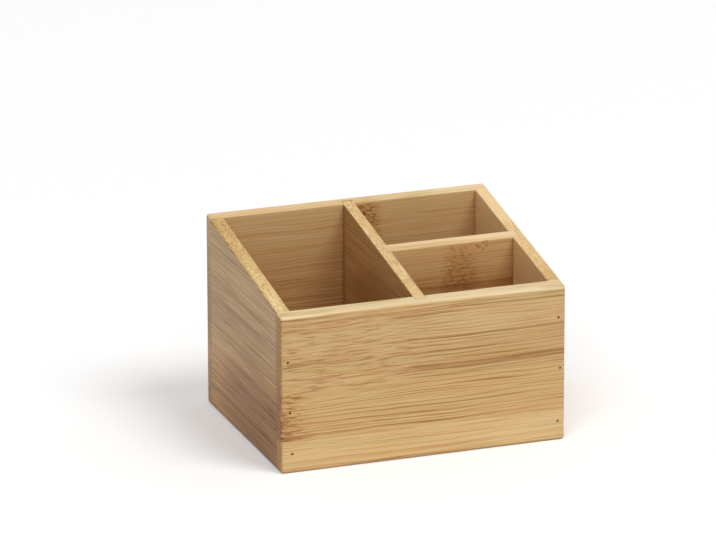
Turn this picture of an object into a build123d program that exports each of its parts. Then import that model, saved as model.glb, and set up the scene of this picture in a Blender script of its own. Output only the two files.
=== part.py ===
from build123d import *

import os

# Bamboo bathroom organizer: an open box with a sloping rim and three bays.
#
# Two end boards (front and back) overlap the ends of two side boards and are
# pinned to them. A base board is trapped in a groove that runs round the inside.
# One divider runs from front to back, and a second one crosses the right half.
# Both stand on the base, and their ends are let into shallow housings.
# The box is glued up square and sanded last, so the rim is one flat slope over
# every board and all its corners are eased in one pass.
#
# Millimetres. X runs left to right, Y front to back and Z up. The origin is on
# the floor, below the middle of the box.

# Overall size
WIDTH = 150.0
DEPTH = 115.0
FRONT_HEIGHT = 81.0
BACK_HEIGHT = 101.0

# Boards
WALL = 7.0
LONG_DIVIDER = 6.0
CROSS_DIVIDER = 7.0
BASE = 4.0
BASE_LIFT = 3.0  # floor to the underside of the base

# Bays
LEFT_BAY = 64.5  # clear width of the long bay on the left
FRONT_BAY = 47.5  # clear depth of the front bay on the right

# Joinery
WALL_HOUSING = 3.5  # depth of the dividers' housings in the outer boards
DIVIDER_HOUSING = 2.0  # depth of the housing in the long divider
BASE_GROOVE = 3.0  # depth of the groove round the base
GLUE_GAP = 0.1  # play of a tongue or of the base in its slot
END_SLACK = 0.6  # gap that shows behind the back end of the long divider
BASE_SLACK = 0.5  # room for the base to swell at each edge

# Sanding
OUTER_EASE = 1.5
RIM_EASE = 0.5

# Headless pins
PIN_DIAMETER = 1.0
PIN_LENGTH = 20.0
PIN_POINT = 1.5
PIN_FIT = 0.02  # radial play of a pin in its hole
PUNCH_MARGIN = 0.15  # how far the driver's mark stands out round a pin
PUNCH_DEPTH = 1.0

# Each pin of a corner, driven by hand: its height as a share of the way from the
# base to the rim, and its drift from the middle of the side board towards the
# inside of the box, as a share of that board's thickness.
LEFT_PIN_SHARES = ((0.04, 0.30), (0.33, 0.15), (0.685, 0.0))
RIGHT_PIN_SHARES = ((0.04, 0.05), (0.42, -0.10), (0.78, 0.05))

# Places that follow from the sizes above
LEFT, RIGHT = -WIDTH / 2, WIDTH / 2
FRONT, BACK = -DEPTH / 2, DEPTH / 2
INNER_LEFT, INNER_RIGHT = LEFT + WALL, RIGHT - WALL
INNER_FRONT, INNER_BACK = FRONT + WALL, BACK - WALL
BASE_TOP = BASE_LIFT + BASE
DIVIDER_LEFT = INNER_LEFT + LEFT_BAY
DIVIDER_RIGHT = DIVIDER_LEFT + LONG_DIVIDER
CROSS_FRONT = INNER_FRONT + FRONT_BAY
CROSS_BACK = CROSS_FRONT + CROSS_DIVIDER
ABOVE_RIM = max(FRONT_HEIGHT, BACK_HEIGHT) + WALL
TOUCH = 1e-4  # how far apart two points may lie and still count as one

# The three bays as (left, right, front, back)
BAYS = (
    (INNER_LEFT, DIVIDER_LEFT, INNER_FRONT, INNER_BACK),
    (DIVIDER_RIGHT, INNER_RIGHT, INNER_FRONT, CROSS_FRONT),
    (DIVIDER_RIGHT, INNER_RIGHT, CROSS_BACK, INNER_BACK),
)


def block(left, right, front, back, bottom, top):
    """A square-edged block between six planes."""
    low = Align.MIN
    return Pos(left, front, bottom) * Box(right - left, back - front, top - bottom, align=(low, low, low))


def rim(y):
    """Height of the sloping rim at a depth."""
    return FRONT_HEIGHT + (BACK_HEIGHT - FRONT_HEIGHT) * (y - FRONT) / DEPTH


def is_mouth(edge):
    """True for an edge where the wall of a bay meets the rim."""
    middle = edge.center()
    if abs(middle.Z - rim(middle.Y)) > TOUCH:
        return False
    return any(
        left - TOUCH < middle.X < right + TOUCH and front - TOUCH < middle.Y < back + TOUCH
        for left, right, front, back in BAYS
    )


def sanded_form():
    """The whole box as one lump after sanding, which every board is trimmed to."""
    outline = Polyline((FRONT, 0), (BACK, 0), (BACK, BACK_HEIGHT), (FRONT, FRONT_HEIGHT), close=True)
    lump = extrude(Plane.YZ * make_face(outline), amount=WIDTH / 2, both=True)
    lump = fillet(lump.edges(), OUTER_EASE)
    for left, right, front, back in BAYS:
        lump -= block(left, right, front, back, BASE_TOP, ABOVE_RIM)
    return fillet(lump.edges().filter_by(is_mouth), RIM_EASE)


def base_space():
    """The room that the base takes, with the groove's play above it."""
    return block(
        INNER_LEFT - BASE_GROOVE,
        INNER_RIGHT + BASE_GROOVE,
        INNER_FRONT - BASE_GROOVE,
        INNER_BACK + BASE_GROOVE,
        BASE_LIFT,
        BASE_TOP + GLUE_GAP,
    )


def long_divider_space():
    """The housings of the front-to-back divider, open at the rim."""
    return block(
        DIVIDER_LEFT - GLUE_GAP,
        DIVIDER_RIGHT + GLUE_GAP,
        INNER_FRONT - WALL_HOUSING,
        INNER_BACK + WALL_HOUSING,
        BASE_TOP,
        ABOVE_RIM,
    )


def cross_divider_space():
    """The housings of the crossing divider, open at the rim."""
    return block(
        DIVIDER_RIGHT - DIVIDER_HOUSING,
        INNER_RIGHT + WALL_HOUSING,
        CROSS_FRONT - GLUE_GAP,
        CROSS_BACK + GLUE_GAP,
        BASE_TOP,
        ABOVE_RIM,
    )


def rod(radius, start, end):
    """A round rod on the Z axis."""
    return Pos(0, 0, start) * Cylinder(radius, end - start, align=(Align.CENTER, Align.CENTER, Align.MIN))


def pin_shape():
    """A headless pin with its head at the origin and its chisel point along +Z."""
    radius = PIN_DIAMETER / 2
    shank = PIN_LENGTH - PIN_POINT
    side_view = [(-radius, 0), (radius, 0), (radius, shank), (0, PIN_LENGTH), (-radius, shank)]
    chisel = extrude(Plane.XZ * make_face(Polyline(*side_view, close=True)), amount=PIN_DIAMETER, both=True)
    return rod(radius, 0, PIN_LENGTH) & chisel


def pin_hole():
    """The hole round a pin, and the driver's mark in front of its head."""
    radius = PIN_DIAMETER / 2
    return rod(radius + PIN_FIT, 0, PIN_LENGTH) + rod(radius + PUNCH_MARGIN, -PUNCH_DEPTH, 0)


def pin_places(side, end):
    """Head planes of one corner's pins. Side is -1 left, 1 right; end is -1 front, 1 back."""
    span = (FRONT_HEIGHT if end < 0 else BACK_HEIGHT) - BASE_TOP
    head = end * (DEPTH / 2 - PUNCH_DEPTH)
    for share, drift in LEFT_PIN_SHARES if side < 0 else RIGHT_PIN_SHARES:
        across = side * (WIDTH / 2 - WALL / 2 - drift * WALL)
        yield Plane((across, head, BASE_TOP + share * span), x_dir=(1, 0, 0), z_dir=(0, -end, 0))


def all_pin_holes():
    """Every pin hole of the box, to be cut from the boards that they pass."""
    return [place * pin_hole() for side in (-1, 1) for end in (-1, 1) for place in pin_places(side, end)]


def front_panel():
    raw = block(LEFT, RIGHT, FRONT, INNER_FRONT, 0, ABOVE_RIM)
    return raw - base_space() - long_divider_space() - all_pin_holes()


def back_panel():
    raw = block(LEFT, RIGHT, INNER_BACK, BACK, 0, ABOVE_RIM)
    return raw - base_space() - long_divider_space() - all_pin_holes()


def left_side():
    raw = block(LEFT, INNER_LEFT, INNER_FRONT, INNER_BACK, 0, ABOVE_RIM)
    return raw - base_space() - all_pin_holes()


def right_side():
    raw = block(INNER_RIGHT, RIGHT, INNER_FRONT, INNER_BACK, 0, ABOVE_RIM)
    return raw - base_space() - cross_divider_space() - all_pin_holes()


def base_panel():
    """The base lies on the lower lip of its groove and has slack at its edges."""
    reach = BASE_GROOVE - BASE_SLACK
    width = INNER_RIGHT - INNER_LEFT + 2 * reach
    depth = INNER_BACK - INNER_FRONT + 2 * reach
    return Pos(0, 0, BASE_LIFT) * Box(width, depth, BASE, align=(Align.CENTER, Align.CENTER, Align.MIN))


def long_divider():
    """It is pushed home at the front, so all of its end slack shows at the back rim."""
    front_end = INNER_FRONT - WALL_HOUSING
    back_end = INNER_BACK + WALL_HOUSING - END_SLACK
    raw = block(DIVIDER_LEFT, DIVIDER_RIGHT, front_end, back_end, BASE_TOP, ABOVE_RIM)
    return raw - cross_divider_space()


def cross_divider():
    """It is pushed home into the long divider, and fits the right side closely."""
    left_end = DIVIDER_RIGHT - DIVIDER_HOUSING
    right_end = INNER_RIGHT + WALL_HOUSING - GLUE_GAP
    return block(left_end, right_end, CROSS_FRONT, CROSS_BACK, BASE_TOP, ABOVE_RIM)


def corner_pins(side, end):
    """The pins of one corner as a group of separate solids."""
    return Compound(children=[place * pin_shape() for place in pin_places(side, end)])


def main():
    form = sanded_form()
    parts = {
        "front_panel": front_panel() & form,
        "back_panel": back_panel() & form,
        "left_side": left_side() & form,
        "right_side": right_side() & form,
        "long_divider": long_divider() & form,
        "cross_divider": cross_divider() & form,
        "base_panel": base_panel(),
        "front_left_pins": corner_pins(-1, -1),
        "front_right_pins": corner_pins(1, -1),
        "back_left_pins": corner_pins(-1, 1),
        "back_right_pins": corner_pins(1, 1),
    }
    os.makedirs("parts", exist_ok=True)
    for name, shape in parts.items():
        export_step(shape, f"parts/{name}.step")
        size = shape.bounding_box().size
        print(f"{name}: {len(shape.solids())} solids, {size.X:.1f} x {size.Y:.1f} x {size.Z:.1f} mm")


main()
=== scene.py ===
# %% [markdown]
# A bamboo organizer box
#
# The box is seven bamboo boards and twelve headless steel pins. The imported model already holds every
# board at its real size, with its housings, grooves and eased edges, so nothing here moves or reshapes
# it. What is left for Blender is what makes bamboo look like bamboo: strips, fibres, knuckles and a satin
# lacquer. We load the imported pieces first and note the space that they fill.

# %% Load the boards and pins
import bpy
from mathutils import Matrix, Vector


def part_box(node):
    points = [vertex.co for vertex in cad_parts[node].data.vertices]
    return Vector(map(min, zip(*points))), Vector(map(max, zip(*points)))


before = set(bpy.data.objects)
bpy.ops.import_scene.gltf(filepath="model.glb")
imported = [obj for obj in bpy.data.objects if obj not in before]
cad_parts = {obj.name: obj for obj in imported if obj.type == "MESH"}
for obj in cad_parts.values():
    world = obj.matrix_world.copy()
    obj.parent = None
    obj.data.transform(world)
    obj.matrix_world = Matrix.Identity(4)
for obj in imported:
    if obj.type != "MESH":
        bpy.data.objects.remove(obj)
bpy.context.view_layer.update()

from copy import copy
from math import cos, pi, radians, sin
from types import SimpleNamespace

import bpy
from mathutils import Quaternion, Vector

MILLIMETRES = 1000.0  # in a metre
print("pieces:", ", ".join(sorted(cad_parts)))

# %% [markdown]
# Camera
#
# A camera can be dragged about until the picture looks right, but a box has long straight edges, and those
# fix the viewpoint much better: where they run together tells the distance, and how far they tilt tells
# the height. The values below were found that way. The lens is long, so the box is seen nearly without
# perspective.

# %% Camera
AZIMUTH = radians(-19.846)  # to the left of straight ahead
ELEVATION = radians(18.257)
ROLL = radians(-0.113)
AIM = Vector((-0.01406, 0.0, 0.08142))
DISTANCE = 3.0218
FOCAL_LENGTH = 303.5  # in mm
SENSOR_WIDTH = 36.0  # in mm
SIGHT_LINE = (0, 0, 1)  # in the camera's own frame


def direction(azimuth, elevation):
    """Unit vector from the box towards a place round it; azimuth 0 is straight in front."""
    return Vector((sin(azimuth) * cos(elevation), -cos(azimuth) * cos(elevation), sin(elevation)))


def aim_at(thing, target, towards, distance):
    """Stand an object at a distance from a target and turn its -Z axis to it."""
    thing.location = target + towards * distance
    thing.rotation_mode = "QUATERNION"
    thing.rotation_quaternion = (-towards).to_track_quat("-Z", "Y")


bpy.ops.object.select_all(action="DESELECT")
bpy.ops.object.camera_add()
camera = bpy.context.object
camera.name = "camera"
camera.data.sensor_width = SENSOR_WIDTH
camera.data.lens = FOCAL_LENGTH
aim_at(camera, AIM, direction(AZIMUTH, ELEVATION), DISTANCE)
camera.rotation_quaternion = camera.rotation_quaternion @ Quaternion(SIGHT_LINE, ROLL)
bpy.context.scene.camera = camera
print("camera at", [round(part, 3) for part in camera.location])

# %% [markdown]
# Shader sums in plain Python
#
# Every finish below is worked out from the place of a point in the wood. In the shader editor that takes
# a Math node for each sum. A small class lets us write the sums as Python instead: it wraps a socket, and
# adding or multiplying two of them adds the node. One method makes every other kind of node.

# %% Wire, a socket that can be reckoned with


class Wire:
    """An output socket of a material, with arithmetic that adds Math nodes."""

    def __init__(self, socket):
        self.socket = socket

    def node(self, kind, settings, inputs, output=0):
        """Add a node of any kind: settings first, then the values or links of its sockets."""
        made = self.socket.id_data.nodes.new(kind)
        for name, value in settings.items():
            if name == "stops":
                fill_ramp(made.color_ramp, value)
            else:
                setattr(made, name, value)
        plug(made, inputs)
        return Wire(made.outputs[output])

    def also(self, output):
        """Another output of the same node."""
        return Wire(self.socket.node.outputs[output])

    def maths(self, operation, *values):
        """A Math node on these values."""
        return self.node("ShaderNodeMath", {"operation": operation}, dict(enumerate(values)))

    def __add__(self, other):
        return self.maths("ADD", self, other)

    def __sub__(self, other):
        return self.maths("SUBTRACT", self, other)

    def __rsub__(self, other):
        return self.maths("SUBTRACT", other, self)

    def __mul__(self, other):
        return self.maths("MULTIPLY", self, other)

    def __truediv__(self, other):
        return self.maths("DIVIDE", self, other)

    def __pow__(self, other):
        return self.maths("POWER", self, other)

    def __abs__(self):
        return self.maths("ABSOLUTE", self)

    __radd__ = __add__
    __rmul__ = __mul__


def plug(node, inputs):
    """Give sockets of a node their values or links."""
    for name, value in inputs.items():
        if isinstance(value, Wire):
            node.id_data.links.new(value.socket, node.inputs[name])
        else:
            node.inputs[name].default_value = value


def fill_ramp(ramp, stops):
    """Set the stops of a colour ramp, as (place, colour) pairs."""
    while len(ramp.elements) < len(stops):
        ramp.elements.new(1.0)
    for element, (place, colour) in zip(ramp.elements, stops):
        element.position = place
        element.color = (*colour, 1.0)


# %% [markdown]
# Masks
#
# A mask is a value from 0 to 1 that says how much of something a point has. The Greater Than operation
# would give one with a hard edge, which looks printed. A Map Range node with a smooth step gives a soft
# edge, so we use that for nearly all of them. A noise also gives a colour, whose channels are three noises
# at once.

# %% Soft edges and channels


def ease(value, start, end):
    """0 on the near side of start, 1 past end, and smooth between. Start may be the larger one."""
    return value.node(
        "ShaderNodeMapRange",
        {"interpolation_type": "SMOOTHSTEP"},
        {"Value": value, "From Min": start, "From Max": end},
    )


def between(value, low, high, soft):
    """1 inside a range and 0 outside, with soft ends."""
    return ease(value, low, low + soft) * ease(value, high, high - soft)


def channels(colour):
    """The three channels of a colour as values."""
    red = colour.node("ShaderNodeSeparateColor", {}, {0: colour}, "Red")
    return red, red.also("Green"), red.also("Blue")


# %% [markdown]
# How a bamboo board is built up
#
# A bamboo cane is hollow and thin, so a board is pressed from flat strips, each about as thick as the
# board and some 20 mm wide. Through every strip run vascular bundles, darker threads of about half a
# millimetre. Where a saw or plane runs along them they show as long lines, on an end they show as dots,
# and on the sloping rim, which cuts them at ten degrees, as short dashes. A painted-on picture of lines
# would be wrong on two of those three cuts. So we make the wood as a solid pattern: a place in the board
# is turned into a distance along the grain, one across it and one through the board, and the threads are
# cells in the last two.

# %% Places inside a board
STRIP_SHIFT = (90.0, 90.0, 90.0)  # the most that a strip's pattern is moved, in the pattern's own units
RIM_FACING = (0.6, 0.95)  # how far up a surface faces where the rim begins, and where it is all rim
THREAD_CORE = 0.4  # share of a thread's radius that has its full strength


class Grain:
    """Where a point lies in a board: along the grain, across it and through it, in mm.

    Slant says how far the surface is cut across the grain, and rim how far it faces up. Tone is how
    much darker the point's strip is than the first one.
    """

    def __init__(self, tree, axes, joints, seed):
        place = Wire(tree.nodes.new("ShaderNodeTexCoord").outputs["Object"])
        scaled = place.node("ShaderNodeVectorMath", {"operation": "SCALE"}, {0: place, "Scale": MILLIMETRES})
        parts = scaled.node("ShaderNodeSeparateXYZ", {}, {0: scaled})
        self.along, self.across, self.through = (parts.also(axis) for axis in axes)
        facing = place.also("Normal")
        normal = facing.node("ShaderNodeSeparateXYZ", {}, {0: facing})
        self.slant = abs(normal.also(axes[0]))
        self.rim = ease(normal.also("Z"), *RIM_FACING)
        steps = [self.across.maths("GREATER_THAN", self.across, height) for height, _ in joints]
        self.tone = sum(step * change for step, (_, change) in zip(steps, joints))
        number = seed + sum(steps)
        chance = number.node("ShaderNodeTexWhiteNoise", {"noise_dimensions": "1D"}, {"W": number}, "Color")
        self.shift = chance.node(
            "ShaderNodeVectorMath", {"operation": "MULTIPLY"}, {0: chance, 1: STRIP_SHIFT}
        )

    def point(self, along, across, through):
        """A point for a texture, moved by a different amount in each strip."""
        made = self.along.node("ShaderNodeCombineXYZ", {}, {0: along, 1: across, 2: through})
        return made.node("ShaderNodeVectorMath", {"operation": "ADD"}, {0: made, 1: self.shift})

    def cloud(self, length, width, detail=2.0):
        """Noise whose blots are some length along the grain and some width across it."""
        place = self.point(self.along / length, self.across / width, self.through / width)
        return place.node("ShaderNodeTexNoise", {}, {"Vector": place, "Scale": 1.0, "Detail": detail})

    def threads(self, spacing, radius):
        """Round threads along the grain, each with its own strength; the radius is in spacings."""
        place = self.point(self.across / spacing, self.through / spacing, 0.0)
        inputs = {"Vector": place, "Scale": 1.0}
        nearest = place.node("ShaderNodeTexVoronoi", {"voronoi_dimensions": "2D"}, inputs)
        strength = channels(nearest.also("Color"))[0]
        return ease(nearest, radius, THREAD_CORE * radius) * strength


# %% [markdown]
# Where things lie on a board
#
# Every board has a face of its own: a knuckle here, a dark streak there, a stretch where the fibres swirl.
# These could be painted by hand on an unwrapped board, but then each correction means painting again. We
# list the marks of a board with their places in millimetres instead. Most marks are a soft oval or a band
# with soft ends, and a list of marks adds up to one mask.

# %% Ovals and bands
OVAL_CORE = 0.1  # squared distance from the middle with full strength; an oval's edge is at 1
BAND_CORE = 0.35  # share of a band's half width that has its full strength
BAND_FADE = 20.0  # in mm, at both ends of a band


def ovals(grain, marks):
    """Soft ovals, each with its middle, its half length, its half width and its strength."""
    masks = []
    for along, across, length, width, strength in marks:
        reach = ((grain.along - along) / length) ** 2.0 + ((grain.across - across) / width) ** 2.0
        masks.append(ease(reach, 1.0, OVAL_CORE) * strength)
    return sum(masks)


def bands(grain, marks):
    """Bands along the grain, each with its start, its end, its height, its half width and its strength."""
    masks = []
    for start, end, height, half, strength in marks:
        line = ease(abs(grain.across - height), half, BAND_CORE * half)
        masks.append(line * between(grain.along, start, end, BAND_FADE) * strength)
    return sum(masks)


# %% [markdown]
# Bent fibres
#
# Threads never run dead straight. They drift in and out of the cut, so a line swells, thins out and ends
# in a point. In some stretches they swirl, and there the cut shows them as short lens-shaped dashes
# instead of long lines. A Wave texture with distortion could bend one kind of line. We bend the place
# itself, by slow noise in the two cross directions and by a quicker ripple where the board swirls, and so
# every kind of thread follows.

# %% Bend the fibres
BEND = 3.0  # in mm
RIPPLE = 1.4  # in mm
NOISE_MIDDLE = 0.5  # a noise is about as often above this value as below it


def bend(grain, swirl, share):
    """The same grain, with its cross directions moved by noise."""
    across, through, _ = channels(grain.cloud(length=60.0, width=14.0).also("Color"))
    ripple, _, _ = channels(grain.cloud(length=17.0, width=6.0).also("Color"))
    bent = copy(grain)
    bent.across = grain.across + share * BEND * (across - NOISE_MIDDLE)
    bent.across = bent.across + RIPPLE * swirl * (ripple - NOISE_MIDDLE)
    bent.through = grain.through + share * BEND * (through - NOISE_MIDDLE)
    return bent


# %% [markdown]
# Lines and dashes
#
# Five layers make the figure of the wood. Bundles lie in rows a couple of millimetres apart, and each row
# wavers and comes and goes. Where the fibres swirl, short dashes take the rows' place. Threads are single
# strong bundles between the rows, hairs are finer ones, and fibre is the finest layer, a silky noise. One
# noise at several scales would be simpler, but its lines have no width of their own and look like smoke.

# %% Rows and dashes
ROW = 1.8  # in mm, from one row to the next
ROW_MIDDLE = 0.5  # in rows, as the next values are
ROW_WAVER = 2.4
ROW_EDGES = (0.24, 0.04)  # how far from its middle a row begins, and where it has its full strength
ROW_GAPS = (0.30, 0.54)  # noise below the first value leaves a gap, and above the second a whole row
DASH_EDGES = (0.50, 0.62)  # noise between which a dash goes from nothing to its full strength


def rows(grain):
    """Thin lines at an even spacing, which waver and fade in and out."""
    phase = grain.across / ROW + ROW_WAVER * grain.cloud(length=110.0, width=5.0)
    from_middle = abs(phase.maths("FRACT", phase) - ROW_MIDDLE)
    return ease(from_middle, *ROW_EDGES) * ease(grain.cloud(length=60.0, width=1.5), *ROW_GAPS)


def dashes(grain):
    """Short lens-shaped lines, where stretched noise is high."""
    return ease(grain.cloud(length=12.0, width=0.72, detail=1.0), *DASH_EDGES)


# %% The figure of the wood
DASH_STRENGTH = 0.85
THREAD_GAPS = (0.32, 0.6)  # as for the rows
SWIRL_CALM = 0.7  # how much weaker threads and hairs are where the fibres swirl


def figure(grain, swirl):
    """The layers of the grain: the comb of rows or dashes, threads, hairs and fibre."""
    row = rows(grain)
    comb = row + swirl * (DASH_STRENGTH * dashes(grain) - row)
    calm = 1.0 - SWIRL_CALM * swirl
    whole = ease(grain.cloud(length=40.0, width=1.6), *THREAD_GAPS)
    threads = grain.threads(spacing=1.8, radius=0.40) * whole * calm
    hairs = grain.threads(spacing=0.85, radius=0.48) * calm
    fibre = grain.cloud(length=50.0, width=0.5)
    return comb, threads, hairs, fibre


# %% [markdown]
# Knuckles
#
# Every strip carries a knuckle, the joint of the cane, somewhere. Planed flat, it is a band about a finger
# wide with a reddish blush and many short dark flecks, and it stops dead at the strip's edges. An oval
# would spill over those edges. So a knuckle is a place along the grain and the two edges of its strip, and
# the flecks are noise that shows only there. Some knuckles also show the round dots of cut buds.

# %% Knuckles and their flecks
KNUCKLE_CORE = 0.3  # share of a knuckle's half length that has its full strength
STRIP_EDGE = 0.2  # in mm
FLECK_WIDTH = 0.9  # in mm
FLECK_EDGES = (0.53, 0.61)  # noise between which a fleck goes from nothing to its full strength
FLECK_CROWD = 0.05  # what a knuckle adds to that noise, so that more flecks show in its middle
BUD = (1.1, 0.9)  # half length and half width of a cut bud, in mm


def knuckle_mask(grain, knuckles):
    """How near a point is to a knuckle. Each has its middle, its half length, two edges and a strength."""
    masks = []
    for middle, half, low, high, strength in knuckles:
        near = ease(abs(grain.along - middle), half, KNUCKLE_CORE * half)
        masks.append(near * between(grain.across, low, high, STRIP_EDGE) * strength)
    return sum(masks)


def flecks(grain, knuckle, length):
    """Short dark dashes, crowded where the knuckle is strong."""
    noise = grain.cloud(length, FLECK_WIDTH, detail=1.0) + FLECK_CROWD * knuckle
    return ease(noise, *FLECK_EDGES) * knuckle


def dots(grain, places):
    """Round dark dots, as cut buds and rootlets leave them."""
    return ovals(grain, [(along, across, *BUD, strength) for along, across, strength in places])


# %% [markdown]
# Seams and painted shade in corners
#
# Where a board butts against another, glue and lacquer leave a dark hairline. In the corners of the bays,
# in the pin holes and along the foot, near the floor, the wood is darkened as painted shade. The hairline
# could be a thin strip of mesh, but it has no thickness to speak of, so it is a mask that follows from the
# board's own ends, which the frame knows. For the painted shade, the Ambient Occlusion node says how much
# of a point's surroundings is open within a few millimetres.

# %% Seams and painted corner shade
SEAM = 0.45  # in mm
SEAM_CORE = 0.3  # share of a seam that has its full strength
CORNER_REACH = 0.004  # in metres
CORNER_SAMPLES = 8
CORNER_OPEN = (0.85, 0.35)  # the open share where a corner begins, and where it is darkest


def seam_mask(grain, start, end):
    """1 at the two ends of a board and 0 beyond the width of a seam."""
    middle = (start + end) / 2.0
    half = (end - start) / 2.0
    return ease(abs(grain.along - middle), half - SEAM, half - SEAM_CORE * SEAM)


def painted_corner_shade(grain):
    """Painted shade: 1 deep in a corner, in a hole or beside the floor, and 0 in the open."""
    open_share = grain.along.node(
        "ShaderNodeAmbientOcclusion", {"samples": CORNER_SAMPLES}, {"Distance": CORNER_REACH}, "AO"
    )
    return ease(open_share, *CORNER_OPEN)


# %% [markdown]
# What sets one board apart
#
# No two boards look alike, but they are all one wood. Seven separate materials would drift apart with
# every change, so we write one and list what a board may set for itself. Each setting has a plain value
# here, and a board names only those that it changes. A shade runs from 0, pale pith, to 1, a dark fleck.

# %% Plain values of a board
PLAIN = dict(
    toast=0.27,  # shade of the first strip
    broad=0.0,  # strength of broad soft stripes
    contrast=1.0,  # strength of the lines
    quiet=(),  # ovals where the lines are weaker
    waver=1.0,  # how far the fibres stray from a straight line
    fleck=5.0,  # length of a knuckle's flecks, in mm
    spots=(),  # cut buds, each with its middle and its strength
    skin=None,  # where the cane's outside begins through the board and where it is complete, in mm
    butted=False,  # True if the ends meet other boards
    cut=(0.6, 0.9),  # the slant where a surface starts to look cut, and where it fully does
    speckle=1.0,  # strength of the speckle on a cut surface
    rim=None,  # how much darker the cut rim is at its front end and at its back end
    end_shade=0.22,  # how much darker the cut ends are
    end_dull=0.6,  # how grey the cut ends are
    dull=0.0,  # how grey and dark the upper part of the board is, painted shade on the left side
    rosy=0.0,  # how red the board is all over
    rose=0.4,  # strength of reddish clouds
    mossy=0.7,  # strength of greenish clouds
    gold=0.0,  # how yellow the cut surfaces are
    amber=(),  # ovals that are more yellow
)
print("settings with a plain value:", len(PLAIN))

# %% [markdown]
# Layers
#
# Here the masks are made for one board. Knuckles, swirls and buds lie on the straight board, because their
# places were measured there. Lines, flecks and streaks could lie there too, but would look ruled, so they
# follow the bent fibres. A cut surface shows the bundles from their ends, as specks among blots of pith.

# %% The layers of a board
SKIN_FADE = 0.6  # how much weaker a knuckle is on the cane's outside
KNUCKLE_SWIRL = 0.4  # how far the fibres swirl round a knuckle
END_SLANT = (0.85, 0.98)  # the slant where a surface begins to be an end, and where it is all end
LARGE_BLOTS = 0.6  # strength of the large blots beside the small ones


def layers_of(grain, board):
    """Every layer of a board, as values that the shade, the colour and the lacquer share."""
    skin = ease(grain.through, *board.skin) if board.skin else 0.0
    knuckle = knuckle_mask(grain, board.knuckles) * (1.0 - SKIN_FADE * skin)
    swirl = ovals(grain, board.swirls) + KNUCKLE_SWIRL * knuckle
    swirl = swirl.maths("MINIMUM", swirl, 1.0)
    bent = bend(grain, swirl, board.waver)
    comb, threads, hairs, fibre = figure(bent, swirl)
    return SimpleNamespace(
        skin=skin,
        knuckle=knuckle,
        spot=dots(grain, board.spots) * (1.0 - skin),
        cut=ease(grain.slant, *board.cut),
        end=ease(grain.slant, *END_SLANT),
        comb=comb,
        threads=threads,
        hairs=hairs,
        fibre=fibre,
        fleck=flecks(bent, knuckle, board.fleck),
        streak=bands(bent, board.streaks),
        amber=ovals(bent, board.amber),
        specks=bent.threads(spacing=0.6, radius=0.5),
        mottle=bent.cloud(length=2.4, width=0.6) + LARGE_BLOTS * bent.cloud(length=9.0, width=1.5),
    )


# %% [markdown]
# The ground
#
# How dark the wood is at a point could be built from many mixed colours. It is easier to balance as one
# number, the shade, to which each layer adds a little. First comes the ground, which is all that isn't a
# line: the strips' own tones, soft clouds and patches, the dark seams, and painted shade in the corners.

# %% Shade of the ground
CLOUD_TONE = 0.14
PAINTED_CORNER_SHADE = 0.3
SEAM_TONE = 0.3
SKIN_TONE = 0.1


def ground_shade(grain, board, ends, skin):
    """The shade of a board before any line is drawn on it."""
    shade = board.toast + grain.tone + ovals(grain, board.patches)
    shade = shade + CLOUD_TONE * (grain.cloud(length=90.0, width=8.0) - NOISE_MIDDLE)
    shade = shade + board.broad * (grain.cloud(length=45.0, width=3.2) - NOISE_MIDDLE)
    # painted shade: corners, pin holes and the foot are darkened where little light reaches
    shade = shade + PAINTED_CORNER_SHADE * painted_corner_shade(grain) + SKIN_TONE * skin
    if board.butted:
        shade = shade + SEAM_TONE * seam_mask(grain, *ends)
    return shade


# %% [markdown]
# Lines, speckle and rim
#
# A surface along the grain shows lines, and one across it shows speckle. The sloping rim is sanded last
# and is made paler, partly as painted sheen. Its shade changes from front to back, so it runs evenly
# between two values; on the right side its paler back end is painted glare. A separate material for the
# rim would need its faces picked out. The slant of the surface tells them apart without that.

# %% Shade of lines, speckle and rim
COMB_TONE = 0.26
COMB_MIDDLE = 0.2
THREAD_TONE = 0.14
HAIR_TONE = 0.17
FIBRE_TONE = 0.45
SPECK_TONE = 0.30
SPECKLE_MIDDLE = 0.8


def line_shade(layers):
    """What the lines add on a surface along the grain."""
    shade = COMB_TONE * (layers.comb - COMB_MIDDLE) + THREAD_TONE * layers.threads
    return shade + HAIR_TONE * layers.hairs + FIBRE_TONE * (layers.fibre - NOISE_MIDDLE)


def speckle_shade(layers):
    """What specks and blots add on a cut surface."""
    return SPECK_TONE * layers.specks + layers.mottle - SPECKLE_MIDDLE


# partly painted sheen: the rims are made paler, and the right one paler at the back as painted glare
def rim_shade(grain, ends, rim):
    """What the rim adds, from its front end to its back end."""
    front, back = rim
    start, end = ends
    return front + (back - front) * ((grain.along - start) / (end - start))


# %% [markdown]
# The whole shade
#
# All of this adds up, streaks and flecks last. A plain sum would turn a fleck on a dark streak black, and
# real bamboo is never black. Clamping would make flat blots. So dark shades are squeezed: above the place
# where two straight lines cross, the shade rises less steeply.

# %% The whole shade
FLECK_TONE = 0.36
SPOT_TONE = 0.35
SQUEEZE_START = 0.44  # where the flatter of the two lines starts, at shade 0
SQUEEZE_SLOPE = 0.4


def shade_of(grain, board, ends, layers):
    """How dark a point of a board is."""
    contrast = board.contrast - ovals(grain, board.quiet)
    shade = ground_shade(grain, board, ends, layers.skin) + board.end_shade * layers.end
    shade = shade + contrast * line_shade(layers) * (1.0 - layers.cut)
    shade = shade + board.speckle * speckle_shade(layers) * layers.cut
    if board.rim:
        shade = shade + rim_shade(grain, ends, board.rim) * layers.cut
    streak = layers.streak * (NOISE_MIDDLE + layers.fibre) * (1.0 - layers.end)
    shade = shade + streak + FLECK_TONE * layers.fleck
    shade = shade.maths("MINIMUM", shade, SQUEEZE_START + SQUEEZE_SLOPE * shade)
    return shade + SPOT_TONE * layers.spot


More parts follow.
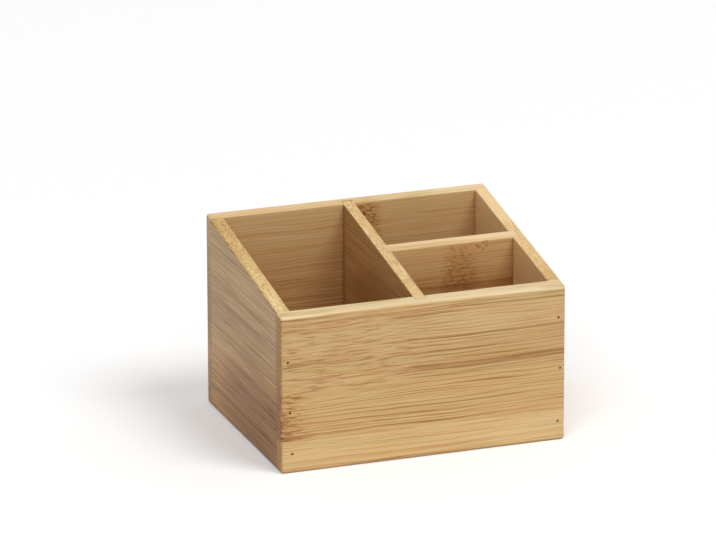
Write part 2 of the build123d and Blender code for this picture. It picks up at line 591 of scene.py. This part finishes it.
# %% [markdown]
# Colour
#
# A colour ramp turns the shade into straw, honey, tan and brown. Real boards also lean to red, green, grey
# or yellow, in clouds or all over. A ramp for each lean would be hard to keep in step, so we dye the one
# ramp's colour: a Mix node that multiplies keeps the lines in it.

# %% Colours of bamboo
PITH = (0.77, 0.60, 0.355)
STRAW = (0.635, 0.445, 0.218)
HONEY = (0.545, 0.34, 0.147)
TAN = (0.44, 0.24, 0.092)
BROWN = (0.26, 0.12, 0.043)
FLECK = (0.10, 0.042, 0.014)
RAMP = [(0.0, PITH), (0.28, STRAW), (0.5, HONEY), (0.68, TAN), (0.86, BROWN), (1.0, FLECK)]
BLUSH = (1.0, 0.83, 0.68, 1.0)
ROSE = (1.0, 0.84, 0.74, 1.0)
MOSS = (0.92, 0.98, 0.88, 1.0)
DULL = (0.80, 0.85, 0.90, 1.0)
GOLD = (1.0, 0.97, 0.76, 1.0)


def stain(colour, share, dye):
    """Multiply a colour by a dye, by a share."""
    settings = {"data_type": "RGBA", "blend_type": "MULTIPLY"}
    return colour.node("ShaderNodeMix", settings, {0: share, 6: colour, 7: dye}, 2)


# %% Dye the colour of a board
KNUCKLE_BLUSH = 0.4
RIM_SANDING_AND_SHEEN = 0.6  # how much less red the surfaces that face up are: partly the rim's sanding, partly painted sheen
TINT_CLOUD = (0.45, 0.7)  # noise below the first value has no tint, and above the second the whole tint
DULL_HEIGHTS = (15.0, 60.0)  # where greyness begins and where it is complete, in mm


def colour_of(grain, board, layers, shade):
    """The ramp's colour for a shade, dyed by the board's tints."""
    _, rose, moss = channels(grain.cloud(length=70.0, width=4.0).also("Color"))
    # painted shade on the left side: the upper part is greyed
    upper = ease(grain.across, *DULL_HEIGHTS) * (1.0 - layers.cut)
    dyes = (
        # partly painted sheen: surfaces that face up are less red
        (board.rosy * (1.0 - RIM_SANDING_AND_SHEEN * grain.rim) + board.rose * ease(rose, *TINT_CLOUD), ROSE),
        (board.mossy * ease(moss, *TINT_CLOUD), MOSS),
        (board.dull * upper + board.end_dull * layers.end, DULL),
        (board.gold * layers.cut + layers.amber, GOLD),
        (KNUCKLE_BLUSH * layers.knuckle, BLUSH),
    )
    colour = shade.node("ShaderNodeValToRGB", {"stops": RAMP}, {0: shade})
    for share, dye in dyes:
        colour = stain(colour, share, dye)
    return colour


# %% [markdown]
# Lacquer
#
# The lacquer is thin and satin. It could be a clear coat over the wood, but it fills the grain only
# partly, so the threads stay as faint grooves that break up the gloss. One shader with a low index does
# both: a Bump node makes the grooves, and the roughness rises a little on the threads.

# %% Lacquer
LACQUER_INDEX = 1.28
LACQUER_ROUGHNESS = 0.40
THREAD_ROUGHNESS = 0.10
FIBRE_ROUGHNESS = 0.12
GRAIN_RELIEF = 0.00008  # in metres
BUMP_STRENGTH = 0.6
GROOVES = dict(comb=0.3, threads=0.4, hairs=0.3, fibre=0.3, fleck=0.4, spot=0.5)  # shares of the relief
SPECK_GROOVE = 0.4


def lacquer(layers):
    """The shader's inputs for the gloss: how rough the lacquer is and how far it follows the grain."""
    relief = 1.0 - SPECK_GROOVE * layers.specks * layers.cut
    for layer, depth in GROOVES.items():
        relief = relief - depth * getattr(layers, layer)
    bump = {"Strength": BUMP_STRENGTH, "Distance": GRAIN_RELIEF, "Height": relief}
    roughness = LACQUER_ROUGHNESS + THREAD_ROUGHNESS * layers.threads
    roughness = roughness + FIBRE_ROUGHNESS * (layers.fibre - NOISE_MIDDLE)
    return {"Normal": relief.node("ShaderNodeBump", {}, bump), "Roughness": roughness, "IOR": LACQUER_INDEX}


# %% The bamboo finish


def bamboo(name, ends, marks):
    """A bamboo board's material, from its marks and from where its grain starts and ends."""
    board = SimpleNamespace(**{**PLAIN, **marks})
    material = bpy.data.materials.new(name)
    material.use_nodes = True
    tree = material.node_tree
    grain = Grain(tree, board.axes, board.joints, board.seed)
    layers = layers_of(grain, board)
    shade = shade_of(grain, board, ends, layers)
    colour = colour_of(grain, board, layers, shade)
    plug(tree.nodes["Principled BSDF"], {"Base Color": colour, **lacquer(layers)})
    return material


# %% [markdown]
# The front board
#
# The front shows most, so it has most marks: a swirl at the upper left, a knuckle that its left end cuts
# through, a dark band on the right and a paler strip at the foot. Chance alone would give a likely board,
# but not this one. The axes name the directions along the grain, across it and through the board. A joint
# is the height at which a strip ends, and how much darker the next one is.

# %% Marks of the front
FRONT = dict(
    axes="XZY",
    joints=((16.6, 0.12), (41.0, 0.03), (61.6, -0.02)),
    seed=3.0,
    toast=0.335,
    end_shade=0.30,
    end_dull=0.0,
    gold=1.0,
    dull=0.25,
    contrast=1.12,
    quiet=(
        (68.0, 62.0, 60.0, 26.0, 0.35),
        (68.0, 20.0, 60.0, 26.0, 0.35),
        (-30.0, 7.0, 75.0, 13.0, 0.45),
    ),
    knuckles=((-79.0, 22.0, 16.6, 41.0, 0.9),),
    streaks=(
        (-95.0, 95.0, 76.5, 0.8, 0.16),
        (-25.0, 40.0, 74.6, 0.9, 0.20),
        (-35.0, 95.0, 61.8, 0.7, 0.20),
        (-20.0, 50.0, 54.6, 0.7, 0.16),
        (-15.0, 46.0, 52.6, 0.6, 0.14),
        (-20.0, 95.0, 46.8, 2.3, 0.18),
        (-97.0, -52.0, 17.8, 1.5, 0.30),
        (0.0, 95.0, 45.2, 0.6, 0.10),
        (-95.0, 70.0, 27.0, 0.6, 0.12),
        (-95.0, 50.0, 21.5, 0.6, 0.14),
        (-95.0, 70.0, 18.4, 0.9, 0.10),
        (-60.0, 95.0, 11.0, 0.6, 0.10),
        (-95.0, 95.0, 4.5, 0.6, 0.14),
        (-95.0, 95.0, 2.0, 0.6, 0.14),
        # painted sheen: this band lightens the top edge
        (-95.0, 95.0, 81.6, 2.8, -0.40),
    ),
    patches=(
        (65.0, 8.0, 50.0, 9.0, -0.06),
        (45.0, 70.0, 50.0, 14.0, -0.05),
        (-77.0, 40.0, 3.5, 200.0, 0.15),
    ),
    swirls=((-44.0, 58.0, 58.0, 28.0, 1.2),),
)

# %% [markdown]
# The other boards
#
# The grain runs along the length of every board: from side to side in the front, back, cross divider and
# base, and from front to back in the sides and the long divider. Those three meet the sloping rim across
# their grain, so their cut starts at a small slant. What the box hides has only a few marks.

# %% Marks of the back
BACK = dict(
    axes="XZY",
    joints=((22.0, -0.04), (44.0, 0.03), (63.0, -0.05), (85.0, -0.06)),
    seed=11.0,
    toast=0.45,
    contrast=0.6,
    fleck=2.6,
    rosy=0.35,
    knuckles=((9.0, 9.0, 63.0, 98.6, 0.9), (-40.0, 9.0, 22.0, 44.0, 0.7)),
    spots=((5.0, 96.0, 0.4), (7.5, 93.5, 0.6), (6.0, 90.0, 0.4), (11.0, 95.0, 0.5), (9.5, 88.0, 0.3)),
    skin=(53.5, 57.0),
    streaks=(
        (-95.0, 95.0, 88.0, 1.0, 0.10),
        (-95.0, 30.0, 52.0, 1.6, 0.12),
        # painted sheen: these two lighten the top edge, the second as painted glare at the right end
        (-95.0, 95.0, 101.5, 3.0, -0.16),
        (35.0, 110.0, 101.5, 3.0, -0.18),
    ),
    # painted shadow: the second patch darkens the board round its upper knuckle
    patches=((0.0, 56.0, 140.0, 26.0, 0.12), (9.0, 84.0, 10.0, 26.0, 0.12)),
    swirls=((40.0, 60.0, 30.0, 20.0, 0.6),),
)

# %% Marks of the sides
SLOPING_CUT = (0.06, 0.16)
LEFT = dict(
    axes="YZX",
    joints=((18.0, 0.0), (36.0, -0.03), (57.0, 0.01), (79.0, -0.01)),
    butted=True,
    seed=23.0,
    toast=0.60,
    contrast=1.1,
    broad=0.35,
    rose=0.1,
    mossy=0.4,
    # painted shade: the upper part is greyed and darkened
    dull=0.9,
    gold=0.8,
    waver=0.6,
    cut=SLOPING_CUT,
    rim=(-0.47, -0.07),
    knuckles=((-48.0, 18.0, 18.0, 36.0, 0.25),),
    streaks=(
        (-80.0, 80.0, 33.0, 1.2, 0.13),
        (-80.0, 20.0, 26.0, 2.0, 0.12),
        (-80.0, 60.0, 20.5, 1.2, 0.12),
        (-50.0, 80.0, 12.0, 1.6, 0.10),
        (-60.0, 80.0, 46.0, 2.4, 0.10),
        (-80.0, 40.0, 61.0, 2.0, 0.08),
        (-40.0, 80.0, 70.0, 1.6, 0.08),
    ),
    patches=(
        # painted shade: this patch and the next darken the lower part, most at the front
        (-60.0, 0.0, 130.0, 55.0, 0.26),
        (-15.0, 18.0, 60.0, 30.0, 0.12),
        (0.0, 52.0, 36.0, 16.0, 0.06),
        (-8.0, 76.0, 34.0, 12.0, -0.05),
    ),
    amber=((-48.0, 18.0, 42.0, 36.0, 1.0),),
    swirls=((10.0, 55.0, 40.0, 30.0, 0.2),),
)
RIGHT = dict(
    axes="YZX",
    joints=((21.0, 0.05), (42.0, -0.06), (64.0, 0.02), (84.0, -0.04)),
    butted=True,
    seed=31.0,
    toast=0.04,
    contrast=0.7,
    rosy=0.9,
    mossy=0.2,
    gold=0.15,
    amber=((0.0, 75.0, 120.0, 40.0, 0.4),),
    cut=SLOPING_CUT,
    # painted glare: the rim grows paler towards its back end
    rim=(0.26, -0.10),
    speckle=0.8,
    knuckles=((30.0, 10.0, 21.0, 42.0, 0.9),),
    streaks=((-80.0, 80.0, 58.0, 1.2, 0.12),),
    # painted glare: the second patch pales the rim's back end
    patches=((0.0, 30.0, 90.0, 14.0, 0.06), (50.0, 99.0, 60.0, 8.0, -0.25)),
    swirls=((-15.0, 55.0, 40.0, 24.0, 0.7),),
)

# %% Marks of the dividers
LONG = dict(
    axes="YZX",
    joints=((24.0, -0.05), (45.0, 0.06), (67.0, -0.06), (88.0, 0.04)),
    butted=True,
    seed=43.0,
    toast=0.64,
    contrast=0.6,
    rosy=0.35,
    gold=0.4,
    cut=SLOPING_CUT,
    rim=(-0.40, -0.40),
    knuckles=((-10.0, 8.0, 24.0, 45.0, 0.9),),
    streaks=((-80.0, 80.0, 75.0, 1.0, 0.10),),
    patches=(
        (0.0, 40.0, 120.0, 34.0, 0.06),
        # painted shade: this patch and the next darken the divider's middle, low in the left bay
        (-30.0, 45.0, 60.0, 26.0, 0.26),
        (0.0, 64.0, 45.0, 18.0, 0.16),
    ),
    swirls=((0.0, 70.0, 30.0, 20.0, 0.4),),
)
CROSS = dict(
    axes="XZY",
    joints=((20.0, 0.05), (42.0, -0.04), (62.0, -0.02), (85.0, -0.05)),
    butted=True,
    seed=57.0,
    toast=0.34,
    contrast=0.6,
    fleck=2.2,
    rosy=0.75,
    knuckles=((39.5, 12.5, 42.0, 89.6, 0.62),),
    spots=(
        (48.7, 88.1, 0.9),
        (49.7, 87.2, 1.0),
        (51.9, 89.4, 0.9),
        (53.7, 89.9, 0.9),
        (53.5, 87.6, 1.0),
        (51.8, 86.0, 0.9),
    ),
    # painted sheen: the second streak lightens the top edge
    streaks=((-40.0, 115.0, 68.0, 1.8, 0.12), (-40.0, 115.0, 92.2, 2.4, -0.24)),
    # painted shade: the first patch darkens the divider lower down in the bays
    patches=((35.0, 50.0, 90.0, 32.0, 0.34), (39.0, 68.0, 13.0, 24.0, 0.10)),
    swirls=((60.0, 70.0, 20.0, 15.0, 0.4),),
)

# %% Marks of the base
BASE = dict(
    axes="XYZ",
    joints=((-33.0, 0.04), (-11.0, -0.05), (10.0, 0.04), (31.0, -0.03)),
    seed=71.0,
    toast=0.40,
    knuckles=((-30.0, 9.0, -11.0, 10.0, 0.9), (25.0, 9.0, 31.0, 80.0, 0.9)),
    streaks=((-95.0, 95.0, 4.0, 1.2, 0.12),),
    patches=((0.0, 0.0, 120.0, 90.0, 0.04),),
    swirls=((-10.0, -30.0, 40.0, 14.0, 0.6),),
)

# %% [markdown]
# Dressing the boards
#
# A finish could be laid on a copy of each board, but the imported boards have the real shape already. Each
# has a material slot, so its finish goes there and the mesh stays as it is. The frame tells where a
# board's ends are, which its seams and its rim need.

# %% Dress the boards
BOARDS = {
    "front_panel": FRONT,
    "back_panel": BACK,
    "left_side": LEFT,
    "right_side": RIGHT,
    "long_divider": LONG,
    "cross_divider": CROSS,
    "base_panel": BASE,
}
AXES = "XYZ"


def dress(node, material):
    """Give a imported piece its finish."""
    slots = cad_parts[node].data.materials
    for index in range(len(slots)):
        slots[index] = material


def ends_of(node, axis):
    """Where a board starts and ends along its grain, in mm."""
    low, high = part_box(node)
    return MILLIMETRES * low[AXES.index(axis)], MILLIMETRES * high[AXES.index(axis)]


for node, marks in BOARDS.items():
    ends = ends_of(node, marks["axes"][0])
    finish = bamboo(f"bamboo_{node}", ends, marks)
    dress(node, finish)
    shader_size = len(finish.node_tree.nodes)
    print(f"{node} runs from {ends[0]:.1f} to {ends[1]:.1f} mm, {shader_size} shader nodes")

# %% [markdown]
# Pins
#
# Three headless pins hold each corner. They are drawn wire, punched a millimetre below the surface, so of
# each pin only a small dark dot shows. One plain colour would do from afar. Up close it should still be
# metal, so fine noise gives it blots of tarnish, and the same noise varies its roughness and its relief.

# %% Dress the pins
TARNISH = (0.42, 0.26, 0.13)
BRIGHT_WIRE = (0.56, 0.37, 0.19)
TARNISH_RAMP = [(0.35, TARNISH), (0.7, BRIGHT_WIRE)]
BLOT_SCALE = 2500.0  # in blots to a metre
BLOT_DETAIL = 3.0
BLOT_BUMP = 0.4
BLOT_RELIEF = 0.00003  # in metres
BLOT_ROUGHNESS = 0.2
WIRE_ROUGHNESS = 0.4
WIRE_METALLIC = 0.4


def pin_wire():
    """Dull wire with a little tarnish."""
    material = bpy.data.materials.new("dull_wire")
    material.use_nodes = True
    tree = material.node_tree
    place = Wire(tree.nodes.new("ShaderNodeTexCoord").outputs["Object"])
    noise = {"Vector": place, "Scale": BLOT_SCALE, "Detail": BLOT_DETAIL}
    blots = place.node("ShaderNodeTexNoise", {}, noise)
    bump = {"Strength": BLOT_BUMP, "Distance": BLOT_RELIEF, "Height": blots}
    plug(
        tree.nodes["Principled BSDF"],
        {
            "Base Color": blots.node("ShaderNodeValToRGB", {"stops": TARNISH_RAMP}, {0: blots}),
            "Roughness": WIRE_ROUGHNESS + BLOT_ROUGHNESS * blots,
            "Metallic": WIRE_METALLIC,
            "Normal": blots.node("ShaderNodeBump", {}, bump),
        },
    )
    return material


wire = pin_wire()
pin_nodes = [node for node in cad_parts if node.endswith("_pins")]
for node in pin_nodes:
    dress(node, wire)
print("dressed in wire:", ", ".join(sorted(pin_nodes)))

# %% [markdown]
# Floor
#
# A product picture like this one is taken on a white sweep. A floor that only glows would be white at
# once, but the box would float on it. So the floor is a real matt white surface: its bounce lights the box
# from below, and the box throws a soft shadow on it. Seen directly or in the lacquer it also glows a
# little, which gives the clean white ground.

# %% Floor
FLOOR_SIZE = 12.0
FLOOR_GAP = 0.0001  # so that two faces never lie in one plane
FLOOR_WHITE = (0.98, 0.98, 0.98, 1.0)
GLOW_SHARE = 0.1
WHITE_LEVEL = 1.0  # strength at which a glow or a sky shows as white


def seen_directly(tree):
    """1 for rays from the camera, from gloss and through glass, and 0 for the light that falls on things."""
    path = Wire(tree.nodes.new("ShaderNodeLightPath").outputs["Is Camera Ray"])
    either = path + path.also("Is Glossy Ray") + path.also("Is Transmission Ray")
    return either.maths("MINIMUM", either, 1.0)


bpy.ops.mesh.primitive_plane_add(size=FLOOR_SIZE, location=(0, 0, -FLOOR_GAP))
floor = bpy.context.object
floor.name = "floor"
floor_white = bpy.data.materials.new("floor_white")
floor_white.use_nodes = True
tree = floor_white.node_tree
seen = seen_directly(tree)
matt = seen.node("ShaderNodeBsdfDiffuse", {}, {"Color": FLOOR_WHITE})
glow = seen.node("ShaderNodeEmission", {}, {"Strength": WHITE_LEVEL})
mixed = seen.node("ShaderNodeMixShader", {}, {0: seen * GLOW_SHARE, 1: matt, 2: glow})
plug(tree.nodes["Material Output"], {"Surface": mixed})
floor.data.materials.append(floor_white)
print("floor", FLOOR_SIZE, "m wide")

# %% [markdown]
# Sky and lamps
#
# A studio lights such a box with large soft lamps. A sun lamp would draw hard edges, and a bright sky
# alone would leave the faces flat. So a dim white sky fills the shade, one wide lamp on the right lights
# the front, and a weaker one on the left lifts the left side. Both stand far off, so that they light the
# floor evenly. Seen directly or in the lacquer, the sky is full white, though it gives less light than
# that.

# %% Sky
SKY_LEVEL = 0.42
WHITE = (1, 1, 1, 1)

world = bpy.data.worlds.new("white_room")
bpy.context.scene.world = world
world.use_nodes = True
tree = world.node_tree
seen = seen_directly(tree)
ambient = seen.node("ShaderNodeBackground", {}, {"Color": WHITE, "Strength": SKY_LEVEL})
backdrop = seen.node("ShaderNodeBackground", {}, {"Color": WHITE, "Strength": WHITE_LEVEL})
mixed = seen.node("ShaderNodeMixShader", {}, {0: seen, 1: ambient, 2: backdrop})
plug(tree.nodes["World Output"], {"Surface": mixed})
print("sky level", SKY_LEVEL)

# %% Lamps
LAMP_DISTANCE = 14.0
LAMP_SIZE = 7.0
LAMPS = (("right_lamp", 0.48, 38, 56), ("left_lamp", 0.34, -38, 52))  # level, azimuth and elevation


def lamp(name, level, azimuth, elevation):
    """A round soft lamp, with angles in degrees; level 1 shows a white card that faces it as white."""
    bpy.ops.object.light_add(type="AREA")
    made = bpy.context.object
    made.name = name
    made.data.shape = "DISK"
    made.data.size = LAMP_SIZE
    made.data.energy = level * pi * pi * LAMP_DISTANCE**2
    aim_at(made, AIM, direction(radians(azimuth), radians(elevation)), LAMP_DISTANCE)
    print(name, round(made.data.energy, 1), "W")


for settings in LAMPS:
    lamp(*settings)

# %% [markdown]
# Finish
#
# Colours are shown as they are written, without a film look.

# %% Finish
bpy.context.scene.view_settings.view_transform = "Standard"
